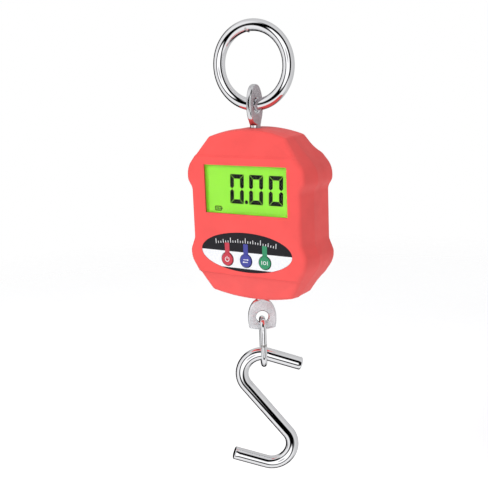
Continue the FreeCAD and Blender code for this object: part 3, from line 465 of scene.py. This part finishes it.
def wire_link():
    """Oval link; its weld is halfway down the leg that is nearer the display's side."""
    wire, half, height, top = 1.8, 6.8, 28.8, -171.2
    upper, lower = top - half, top - height + half
    leg = upper - lower

    def build(work):
        stations = arc_stations(0, upper, half, 0, pi, wire, 36)
        for step in range(1, 30):
            down = leg * step / 30
            off = abs(down - leg / 2)
            bead = 0.12 * exp(-(off / 0.5) ** 2)
            stations.append((-half, upper - down, -pi / 2, wire + bead, 1 if off < 0.6 else 0))
        stations += arc_stations(0, lower, half, pi, 2 * pi, wire, 36)
        for step in range(1, 12):
            stations.append((half, lower + leg * step / 12, pi / 2, wire, 0))
        sweep(work, stations, True, turned(LOWER_TURN + 90), 32)

    link = piece("wire_link", mesh_from("wire_link", build), "link", [CHROME, WELD])
    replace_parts(link, "connecting_link")


def s_hook():
    """S-hook: the same arm and bend twice, half a turn apart, with softened sawn ends."""
    rod, bend, slope, arm = 4.0, 12.5, radians(20), 21.5
    cx, cz, shift, middle = -2.45, 24.0, 1.2, -230.017
    soft = 0.9
    softened_end = ((0.0, rod - 0.9), (0.15, rod - 0.45), (0.45, rod - 0.13), (soft, rod))

    def run(x, z, heading, places):
        """Stations at distances from a point along a heading."""
        return [(x + cos(heading) * along, z + sin(heading) * along, heading, radius, 0)
                for along, radius in places]

    def build(work):
        lean = atan2(-cx, cz) + asin(bend / hypot(cx, cz))
        leave, join = pi / 2 - slope, pi + lean
        tip_x = cx + bend * cos(leave) + cos(slope) * arm
        tip_z = cz + bend * sin(leave) - sin(slope) * arm
        along_arm = [(soft + (arm - soft) * step / 12, rod) for step in range(1, 12)]
        upper = run(tip_x, tip_z, pi - slope, [*softened_end, *along_arm])
        upper += arc_stations(cx, cz, bend, leave, join, rod, 60)
        start_x, start_z = cx + bend * cos(join), cz + bend * sin(join)
        shank, length = join + pi / 2, hypot(start_x, start_z)
        upper += run(start_x, start_z, shank, [(length * step / 12, rod) for step in range(1, 12)])
        lower = [(-x, -z, angle, radius, material) for x, z, angle, radius, material in reversed(upper)]
        turn = radians(LOWER_TURN)
        place = turned(LOWER_TURN, shift * cos(turn), shift * sin(turn), middle)
        sweep(work, upper + [(0, 0, shank, rod, 0)] + lower, False, place, 48)

    hook = piece("bent_hook", mesh_from("bent_hook", build), "hook", [CHROME])
    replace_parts(hook, "s_hook")


def cut_with(obj, cutter_mesh):
    """Cut a mesh out of a piece."""
    cutter = add_object("cutter", cutter_mesh)
    modifier = obj.modifiers.new("cut", "BOOLEAN")
    modifier.operation = "DIFFERENCE"
    modifier.object = cutter
    modifier.solver = "EXACT"
    settle(obj)
    bpy.data.objects.remove(cutter)


def settle(obj):
    """Make an object's modifiers part of its mesh."""
    bpy.context.view_layer.update()
    graph = bpy.context.evaluated_depsgraph_get()
    mesh = bpy.data.meshes.new_from_object(obj.evaluated_get(graph))
    obj.modifiers.clear()
    obj.data = mesh


def rounded_section(work, level, half_thick, half_wide, corner, place, count=12):
    """Rounded rectangle at one level: thickness along X, width along Y."""
    verts = []
    for quarter in range(4):
        sx = 1 if quarter in (0, 3) else -1
        sy = 1 if quarter < 2 else -1
        for step in range(count):
            angle = pi / 2 * (quarter + step / (count - 1))
            x = sx * (half_thick - corner) + corner * cos(angle)
            y = sy * (half_wide - corner) + corner * sin(angle)
            verts.append(work.verts.new(place @ Vector((x, y, level))))
    return verts


EYE_THICK, SHANK, EYE_EASE, HOLE_EASE = 1.7, 3.1, 1.0, 0.6


def eye_body(width, height, place, away, shank_end, blunt):
    """Flattened, rounded plate that swells into a round shank. Away is 1 or -1: the way the shank points."""
    half = height / 2
    neck, neck_run = half * 0.70, half * 0.27

    def build(work):
        rings = []
        steps = 90
        for step in range(steps + 1):
            level = half * cos(pi * step / steps * 0.985 + 0.012)
            fullness = 2.6 if blunt and level > 0 else 2.0
            wide = width / 2 * max(1 - (abs(level) / half) ** fullness, 0.0004) ** (1 / fullness)
            depth = EYE_THICK
            rim = half - abs(level)
            if level > 0 and rim < EYE_EASE:
                depth += sqrt(max(EYE_EASE ** 2 - (EYE_EASE - rim) ** 2, 0.0004)) - EYE_EASE
            swell = min(max((-level - neck) / neck_run, 0), 1)
            swell = swell * swell * (3 - 2 * swell)
            depth += (SHANK - EYE_THICK) * swell
            wide = max(wide, SHANK) if level < 0 else wide
            corner = min(EYE_EASE + (SHANK - EYE_EASE) * swell, depth * 0.98, wide * 0.98)
            rings.append(rounded_section(work, -away * level, depth, wide, corner, place))
        for level in (half + 0.5, shank_end):
            rings.append(rounded_section(work, away * level, SHANK, SHANK, SHANK * 0.98, place))
        loft(work, rings)

    return build


def eye_hole(hole, place):
    """Cutter for the eye's hole, flared at both faces to ease its edges."""
    def build(work):
        profile = [(-6.0, hole + HOLE_EASE), (-EYE_THICK, hole + HOLE_EASE)]
        for step in range(1, 7):
            angle = pi / 2 * step / 6
            profile.append((-EYE_THICK + HOLE_EASE * sin(angle), hole + HOLE_EASE * (1 - sin(angle))))
        profile += [(-along, radius) for along, radius in reversed(profile)]
        loft(work, [ring_of(work, Vector((along, 0, 0)), Vector((0, 1, 0)), Vector((0, 0, 1)), radius, 64)
                    for along, radius in profile])
        bmesh.ops.transform(work, matrix=place, verts=work.verts[:])

    return build


def eye_wedge(width, height, place):
    """Cutter that leaves the eye's free end blunt, with two shoulders and a low point."""
    def build(work):
        shoulder, point, inner = -height * 0.275, -height * 0.33, width * 0.44
        outline = [(-width, shoulder), (-inner, shoulder), (0, point), (inner, shoulder),
                   (width, shoulder), (width, -height), (-width, -height)]
        slab(work, outline, -10, 10)
        swap = Matrix(((0, 1, 0, 0), (1, 0, 0, 0), (0, 0, 1, 0), (0, 0, 0, 1)))
        bmesh.ops.transform(work, matrix=place @ swap, verts=work.verts[:])

    return build


def eye_bolt(name, body, node, look, place, away, width, height, hole, shank_end, blunt):
    """Forged eye: dull on its flat faces and bright on its rims, hole and shank."""
    obj = add_object(name, mesh_from(name, eye_body(width, height, place, away, shank_end, blunt)))
    cut_with(obj, mesh_from("punch", eye_hole(hole, place)))
    if blunt:
        cut_with(obj, mesh_from("wedge", eye_wedge(width, height, place)))
        bevel = obj.modifiers.new("ease", "BEVEL")
        bevel.width = 0.6 * MM
        bevel.segments = 3
        bevel.limit_method = "ANGLE"
        bevel.angle_limit = radians(50)
        settle(obj)
    facing = (place.to_3x3() @ Vector((1, 0, 0))).normalized()
    for polygon in obj.data.polygons:
        polygon.material_index = 0 if abs(polygon.normal.dot(facing)) > 0.8 else 1
    for material in (look, EDGE):
        obj.data.materials.append(material)
    obj.data.shade_smooth()
    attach(obj, body)
    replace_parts(obj, node)


# ---------------------------------------------------------------- flat outlines and prisms

def slab(work, outline, low, high):
    """Prism of an outline in X and Z, between two depths along Y."""
    front = [work.verts.new((x, low, z)) for x, z in outline]
    back = [work.verts.new((x, high, z)) for x, z in outline]
    work.faces.new(front)
    work.faces.new(back)
    bridge(work, front, back)


def disc_outline(cx, cz, rx, rz, count=40, start=0.0, sweep_angle=2 * pi):
    """Points round an ellipse."""
    return [(cx + rx * cos(start + sweep_angle * n / count), cz + rz * sin(start + sweep_angle * n / count))
            for n in range(count)]


def band_outline(cx, cz, inner, outer, start, end, count=24):
    """Part of a flat ring as one outline."""
    angles = [start + (end - start) * n / count for n in range(count + 1)]
    outside = [(cx + outer * cos(a), cz + outer * sin(a)) for a in angles]
    inside = [(cx + inner * cos(a), cz + inner * sin(a)) for a in reversed(angles)]
    return outside + inside


def bar_outline(x0, z0, x1, z1, half):
    """Straight stroke between two points."""
    length = hypot(x1 - x0, z1 - z0)
    nx, nz = -(z1 - z0) / length * half, (x1 - x0) / length * half
    return [(x0 + nx, z0 + nz), (x1 + nx, z1 + nz), (x1 - nx, z1 - nz), (x0 - nx, z0 - nz)]


# ---------------------------------------------------------------- display and panel

def digit_segments(left, right, top, low, stroke, gap):
    """The six outer segments of one figure, each mitred where it meets its neighbours."""
    middle = (top + low) / 2
    half = stroke / 2
    segments = []
    for side, inward in ((left, 1), (right, -1)):
        for end, down in ((top, -1), (low, 1)):
            waist = middle - down * half
            segments.append([(side, end + down * gap),
                             (side + inward * stroke, end + down * (stroke + gap)),
                             (side + inward * stroke, waist - down * gap),
                             (side + inward * half, middle - down * gap),
                             (side, waist)])
    for end, down in ((top, -1), (low, 1)):
        inside = end + down * stroke
        segments.append([(left + gap, end), (right - gap, end),
                         (right - stroke - gap, inside), (left + stroke + gap, inside)])
    return segments


def display_figures():
    """Figures 0.00 on the display and a small battery mark."""
    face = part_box("lcd_panel")[0].y / MM
    top, low = CASE_TOP - 25.8, CASE_TOP - 43.1
    stroke, gap, slant = 2.55, 0.16, 0.04
    front, back = face - PROUD, face - 0.02

    def figures(work):
        for left, right in ((-10.3, -1.0), (2.7, 12.0), (15.8, 25.1)):
            for outline in digit_segments(left, right, top, low, stroke, gap):
                slab(work, [(x + slant * (z - (top + low) / 2), z) for x, z in outline], front, back)
        slab(work, disc_outline(0.5, low + 1.2, 1.15, 1.15, 24), front, back)

    def battery(work):
        left, right, floor, roof = -21.4, -17.2, low - 4.6, low - 2.3
        middle, nub = (floor + roof) / 2, right + 0.6
        walls = ((left, floor, right, floor), (left, roof, right, roof), (left, floor, left, roof),
                 (right, floor, right, roof), (nub, middle - 0.5, nub, middle + 0.5))
        for wall in walls:
            slab(work, bar_outline(*wall, 0.26), front, back)
        for share in (0.27, 0.53, 0.79):
            x = left + (right - left) * share
            slab(work, bar_outline(x, floor + 0.6, x, roof - 0.6, 0.36), front, back)

    def build(work):
        figures(work)
        battery(work)

    piece("display_figures", mesh_from("display_figures", build), "case", [INK], smooth=False)


KEYS = (("power", -KEY_PITCH, RED_KEY, "red_key"), ("unit", 0.0, BLUE_KEY, "blue_key"),
        ("tare", KEY_PITCH, GREEN_KEY, "green_key"))


def print_halves(work, x, inner, outer, front, back):
    """Flat ring centred on a key, as two halves: print on the tare key, and painted shade round each key on
    the panel.
    """
    for side in (0, 1):
        slab(work, band_outline(x, KEY_LEVEL, inner, outer, pi * side, pi * (side + 1)), front, back)


def panel_print():
    """Coloured tabs above the keys, dark rings of painted shade round them where the keys sit in their holes,
    and white graduations in place of a title.
    """
    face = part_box("control_panel")[0].y / MM
    half, top, low, corner = 1.6, KEY_LEVEL + 10.0, KEY_LEVEL + 3.4, 0.5
    tick_count, tick_spread, tick_level, tick_sag = 25, 20.5, CASE_TOP - 65.9, 1.6

    def tab(work, x):
        outline = [(x - half, low), (x + half, low)]
        for side, start in ((1, 0), (-1, pi / 2)):
            corner_x = x + side * (half - corner)
            outline += disc_outline(corner_x, top - corner, corner, corner, 6, start, pi / 2)
        slab(work, outline, face - PROUD, face + SUNK)

    # painted shade: a thin dark ring round each key stands for the shadow in the gap round it
    def rims(work):
        for _, x, _, _ in KEYS:
            print_halves(work, x, 4.06, 4.3, face - THIN, face + SUNK)

    def ticks(work):
        middle = (tick_count - 1) / 2
        for number in range(tick_count):
            share = (number - middle) / middle
            x = share * tick_spread
            foot = tick_level - tick_sag * share * share
            tall = 3.0 if number % 6 == 0 else 2.2 if number % 3 == 0 else 1.3
            slab(work, bar_outline(x, foot, x * 1.01, foot + tall, 0.2), face - PROUD, face + SUNK)

    for name, x, look, slot in KEYS:
        mesh = mesh_from(f"{name}_tab", lambda work: tab(work, x))
        piece(f"{name}_tab", mesh, "case", [look], smooth=False)
    for name, build, look in (("key_gap_shade_rings", rims, BLACK_PART_AND_GAP_SHADE), ("panel_graduations", ticks, WHITE_PRINT)):
        piece(name, mesh_from(name, build), "case", [look], smooth=False)


def key_marks():
    """Generic marks on the keys: a power sign, two arrows and a zero between two bars."""
    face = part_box("power_button")[0].y / MM
    front, back = face - THIN, face + SUNK

    def power(work, x):
        slab(work, band_outline(x, KEY_LEVEL, 1.15, 1.55, radians(125), radians(415)), front, back)
        slab(work, bar_outline(x, KEY_LEVEL + 0.3, x, KEY_LEVEL + 1.9, 0.2), front, back)

    def unit(work, x):
        for side in (-1, 1):
            z = KEY_LEVEL + side * 0.75
            slab(work, bar_outline(x - 1.5, z, x + 1.5, z, 0.18), front, back)
            neck = x + side * 1.1
            slab(work, [(x + side * 2.1, z), (neck, z + 0.6), (neck, z - 0.6)], front - 0.005, back)

    def tare(work, x):
        print_halves(work, x, 0.75, 1.1, front, back)
        for side in (-1, 1):
            bar = x + side * 1.9
            slab(work, bar_outline(bar, KEY_LEVEL - 1.2, bar, KEY_LEVEL + 1.2, 0.18), front, back)

    for (name, x, _, slot), draw in zip(KEYS, (power, unit, tare)):
        mesh = mesh_from(f"{name}_mark", lambda work: draw(work, x))
        piece(f"{name}_mark", mesh, f"{name}_key", [WHITE_PRINT], smooth=False)


# ---------------------------------------------------------------- case

def front_case():
    """The front shell with a small ledge where its flat middle ends, above and below.

    Beyond a ledge the front wall moves back; the move fades between the depths whole and none.
    """
    ledge, run, none, whole = 1.1, 1.2, 7, 12
    work = bmesh.new()
    work.from_mesh(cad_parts["front_shell"].data)
    for level in (CREASE_TOP, CREASE_TOP + run, CREASE_LOW, CREASE_LOW - run):
        bmesh.ops.bisect_plane(work, geom=work.verts[:] + work.edges[:] + work.faces[:],
                               plane_co=Vector((0, 0, level * MM)), plane_no=Vector((0, 0, 1)), dist=1e-7)
    for vert in work.verts:
        level = vert.co.z / MM
        past = min(max(level - CREASE_TOP, CREASE_LOW - level, 0) / run, 1)
        forward = min(max((-vert.co.y / MM - none) / (whole - none), 0), 1)
        vert.co.y += ledge * MM * past * forward
    mesh = bpy.data.meshes.new("front_case")
    work.to_mesh(mesh)
    work.free()
    mesh.materials.clear()
    mesh.set_sharp_from_angle(angle=radians(24))
    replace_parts(piece("front_case", mesh, "case", [RED]), "front_shell")


def case_screws():
    """Four pan-head screws with cross recesses."""
    tip, head_low, head_high, core, head, slot_half = -10.0, 2.0, 4.2, 1.25, 2.75, 0.32
    profile = [(tip, 0.3), (tip + 1, core), (head_low, core), (head_low, head), (head_high - 0.9, head),
               (head_high - 0.35, 2.45), (head_high, 1.7)]

    def build(work):
        for x, z in SCREW_SPOTS:
            loft(work, [ring_of(work, Vector((x, y, z)), Vector((1, 0, 0)), Vector((0, 0, 1)), radius, 32)
                        for y, radius in profile])

    def slots(work, wide, tall):
        for x, z in SCREW_SPOTS:
            outline = bar_outline(x - wide, z - tall, x + wide, z + tall, slot_half)
            slab(work, outline, head_high - 1.2, head_high + 1)

    obj = add_object("cross_head_screws", mesh_from("cross_head_screws", build))
    for wide, tall in ((1.5, 0), (0, 1.5)):
        cut_with(obj, mesh_from("slots", lambda work: slots(work, wide, tall)))
    obj.data.materials.append(ZINC)
    obj.data.set_sharp_from_angle(angle=radians(35))
    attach(obj, "case")
    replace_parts(obj, "case_screws")


def cover_grip():
    """Thumb ribs and an arrow on the battery cover that show which way it slides."""
    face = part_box("battery_cover")[1].y / MM
    ribs, pitch, top_rib, rib_half = 6, 2.2, CASE_TOP - 66.0, 0.6
    arrow_level = CASE_TOP - 58.0

    def build(work):
        for number in range(ribs):
            z = top_rib - number * pitch
            half = 11.0 - abs(number - (ribs - 1) / 2) * 0.8
            rings = []
            for y, shrink in ((face - 0.2, 0.0), (face + 0.1, 0.0), (face + 0.35, 0.35)):
                wide, tall = half - shrink, rib_half - shrink
                corners = ((-wide, z - tall), (wide, z - tall), (wide, z + tall), (-wide, z + tall))
                rings.append([work.verts.new((x, y, level)) for x, level in corners])
            loft(work, rings)
        outline = [(-3.2, arrow_level), (3.2, arrow_level), (0, arrow_level - 4.0)]
        slab(work, outline, face - 0.2, face + 0.25)

    piece("cover_grip", mesh_from("cover_grip", build), "cover", [COVER_RED], smooth=False)


# ---------------------------------------------------------------- scene

def pale_floor():
    """Floor below the hook that fades out with distance; reflections leave it out."""
    size, level = 4.0, -0.32
    corners = [(-size, -size, level), (size, -size, level), (size, size, level), (-size, size, level)]
    mesh = bpy.data.meshes.new("floor")
    mesh.from_pydata(corners, [], [(0, 1, 2, 3)])
    floor = add_object("floor", mesh)
    look = Maker("pale_floor")
    base = look.ramp(look.noise(3, 3), [(0.3, (0.93, 0.93, 0.93)), (0.7, (0.96, 0.96, 0.96))])
    reach = look.node("ShaderNodeVectorMath")
    reach.operation = "LENGTH"
    look.link(look.coords, reach.inputs[0])
    fade = look.range(reach.outputs["Value"], 0.42, 1.0, 1.0, 0.0)
    look.set(Base_Color=base, Emission_Color=base, Alpha=fade)
    look.shader.inputs["Emission Strength"].default_value = 0.46
    look.shader.inputs["Roughness"].default_value = 0.8
    mesh.materials.append(look.material)
    floor.visible_glossy = False


def lamps():
    """Soft lights aimed at the case; reflections leave them out."""
    aim = Vector((0, 0, -0.12))
    for name, position, power, extent in (
            ("key", (-0.4, -0.95, 0.6), 7.9, 0.45),
            ("fill", (0.9, -0.5, 0.2), 1.5, 0.6),
            ("top", (0.3, -0.1, 1.0), 1.6, 0.8)):
        data = bpy.data.lights.new(name, "AREA")
        data.energy = power
        data.size = extent
        lamp = add_object(name, data)
        lamp.location = position
        lamp.rotation_euler = (aim - Vector(position)).to_track_quat("-Z", "Y").to_euler()
        lamp.visible_glossy = False


def surround():
    """World of white and black bands for reflections; other light is an even grey, and it looks pale."""
    world = bpy.data.worlds.new("studio")
    bpy.context.scene.world = world
    world.use_nodes = True
    tree = world.node_tree
    background = tree.nodes["Background"]
    direction = tree.nodes.new("ShaderNodeTexCoord").outputs["Generated"]

    def math(kind, first, second=0.0):
        node = tree.nodes.new("ShaderNodeMath")
        node.operation = kind
        put(tree, node.inputs[0], first)
        put(tree, node.inputs[1], second)
        return node.outputs[0]

    def toward(axis):
        node = tree.nodes.new("ShaderNodeVectorMath")
        node.operation = "DOT_PRODUCT"
        node.inputs[1].default_value = axis
        tree.links.new(direction, node.inputs[0])
        return node.outputs["Value"]

    def bands(source, stops):
        return colour_ramp(tree, source, [(degrees / 180, (grey, grey, grey)) for degrees, grey in stops])

    across, up = Vector((0.8439, 0.5364, 0)), Vector((-0.116, 0.183, 0.976))
    front = (Vector((0.5238, -0.8239, 0.2164)) - 0.2 * across - 0.07 * up).normalized()
    side = (0.8 * across + 0.6 * up).normalized()
    share = math("DIVIDE", math("ARCCOSINE", toward(front)), pi)
    core = [(0, 0.3), (6, 0.32), (11, 1.0)]
    near = bands(share, core + [(28, 1.0), (32, 0.0), (55, 0.0), (62, 0.6), (120, 0.5), (180, 0.45)])
    far = bands(share, core + [(32, 1.0), (36, 0.0), (47, 0.0), (53, 0.8), (98, 0.65), (105, 0.0),
                               (164, 0.0), (175, 0.4)])
    sidedness = tree.nodes.new("ShaderNodeMapRange")
    sidedness.inputs["From Min"].default_value = -0.12
    sidedness.inputs["From Max"].default_value = 0.12
    tree.links.new(toward(side), sidedness.inputs["Value"])
    path = tree.nodes.new("ShaderNodeLightPath")
    mirrored = blend_colours(tree, sidedness.outputs["Result"], far, near)
    lighting = blend_colours(tree, path.outputs["Is Glossy Ray"], (0.31, 0.31, 0.32, 1), mirrored)
    seen = blend_colours(tree, path.outputs["Is Camera Ray"], lighting, (0.8, 0.8, 0.8, 1))
    tree.links.new(seen, background.inputs["Color"])
    background.inputs["Strength"].default_value = 1.25


def camera():
    """Camera a little above the scale and to its right, as in a catalogue picture."""
    data = bpy.data.cameras.new("camera")
    data.sensor_width = 36
    data.lens = 63.2
    spot = Vector((261.5, -428.7, 42.05 + CASE_TOP)) * MM
    azimuth, height, roll = radians(32.45), radians(12.5), radians(-2.3)
    back = Vector((sin(azimuth) * cos(height), -cos(azimuth) * cos(height), sin(height)))
    right = Vector((cos(azimuth), sin(azimuth), 0))
    up = back.cross(right)
    across = right * cos(roll) + up * sin(roll)
    above = up * cos(roll) - right * sin(roll)
    place = Matrix((across, above, back)).transposed().to_4x4()
    place.translation = spot
    obj = add_object("camera", data)
    obj.matrix_world = place
    bpy.context.scene.camera = obj


hanging_ring()
wire_link()
s_hook()
# the upper eye's flat faces take the darker copy of the forged face: painted shade
eye_bolt("upper_forged_eye", "upper_eye", "upper_eye_bolt", SHADED_FORGED, turned(RING_TURN, z=-41.85), away=-1,
         width=15.6, height=24.4, hole=4.2, shank_end=49.4, blunt=False)
eye_bolt("lower_forged_eye", "lower_eye", "lower_eye_bolt", FORGED, turned(LOWER_TURN + 90, z=-169.7), away=1,
         width=17.2, height=24.4, hole=3.9, shank_end=51.7, blunt=True)
front_case()
display_figures()
panel_print()
key_marks()
case_screws()
cover_grip()
pale_floor()
lamps()
surround()
camera()
bpy.context.scene.view_settings.view_transform = "Standard"
